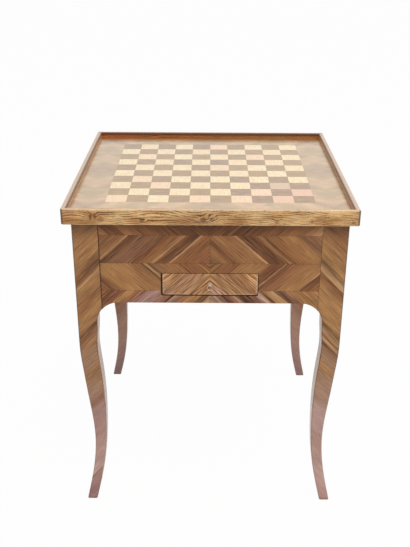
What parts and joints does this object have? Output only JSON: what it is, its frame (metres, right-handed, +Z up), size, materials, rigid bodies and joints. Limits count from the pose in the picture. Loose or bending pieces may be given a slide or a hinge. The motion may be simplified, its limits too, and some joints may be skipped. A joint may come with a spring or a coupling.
{
  "type": "games table",
  "caption": "Square games table with a lift-off tray top carrying an inlaid draughts board, a backgammon well beneath, an apron drawer with a ring pull, and cabriole legs.",
  "frame": {"origin": "on the floor under the middle of the table", "axes": "+Z up, -Y towards the drawer side, +X to the right seen from the drawer side"},
  "size_m": [0.6, 0.6, 0.74],
  "materials": {
    "leg_wood": "satin polish, oblique grain",
    "apron_veneer": "satin polish, chevron grain",
    "drawer_veneer": "satin polish, chevron grain",
    "lip_wood": "satin polish, open grain",
    "border_veneer": "gloss polish",
    "light_square_veneer": "gloss polish",
    "dark_square_veneer": "gloss polish",
    "light_point_inlay": "satin polish",
    "dark_point_inlay": "satin polish",
    "well_wood": "satin polish",
    "secondary_wood": "planed, unpolished",
    "pull_brass": "worn polish"
  },
  "bodies": {
    "carcass": {"front_left_leg": "leg_wood", "front_right_leg": "leg_wood", "back_left_leg": "leg_wood", "back_right_leg": "leg_wood", "front_apron": "secondary_wood", "right_apron": "secondary_wood", "back_apron": "secondary_wood", "left_apron": "secondary_wood", "front_apron_veneer": "apron_veneer", "right_apron_veneer": "apron_veneer", "back_apron_veneer": "apron_veneer", "left_apron_veneer": "apron_veneer", "well_front_wall": "well_wood", "well_right_wall": "well_wood", "well_back_wall": "well_wood", "well_left_wall": "well_wood", "front_infill": "well_wood", "right_infill": "well_wood", "back_infill": "well_wood", "left_infill": "well_wood", "well_floor": "well_wood", "well_light_points": "light_point_inlay", "well_dark_points": "dark_point_inlay", "well_bar": "well_wood", "left_runner": "secondary_wood", "right_runner": "secondary_wood", "left_guide": "secondary_wood", "right_guide": "secondary_wood", "left_kicker": "secondary_wood", "right_kicker": "secondary_wood", "drawer_stops": "secondary_wood"},
    "drawer": {"drawer_front": "secondary_wood", "drawer_front_veneer": "drawer_veneer", "drawer_left_side": "secondary_wood", "drawer_right_side": "secondary_wood", "drawer_back": "secondary_wood", "drawer_bottom": "secondary_wood", "pull_rosette": "pull_brass", "pull_post": "pull_brass", "pull_nut": "pull_brass"},
    "ring": {"pull_ring": "pull_brass"},
    "top": {"top_core": "secondary_wood", "front_lip": "lip_wood", "right_lip": "lip_wood", "back_lip": "lip_wood", "left_lip": "lip_wood", "front_border": "border_veneer", "right_border": "border_veneer", "back_border": "border_veneer", "left_border": "border_veneer", "light_squares": "light_square_veneer", "dark_squares": "dark_square_veneer", "left_cleat": "secondary_wood", "right_cleat": "secondary_wood"}
  },
  "joints": [
    {"name": "top_lift", "type": "slide", "parent": "carcass", "child": "top", "axis": [0, 0, 1], "range_m": [0, 0.25]},
    {"name": "drawer_slide", "type": "slide", "parent": "carcass", "child": "drawer", "axis": [0, -1, 0], "range_m": [0, 0.27]},
    {"name": "ring_swing", "type": "hinge", "parent": "drawer", "child": "ring", "pos_m": [0, -0.28806, 0.5685], "axis": [-1, 0, 0], "range_deg": [0, 100]}
  ]
}
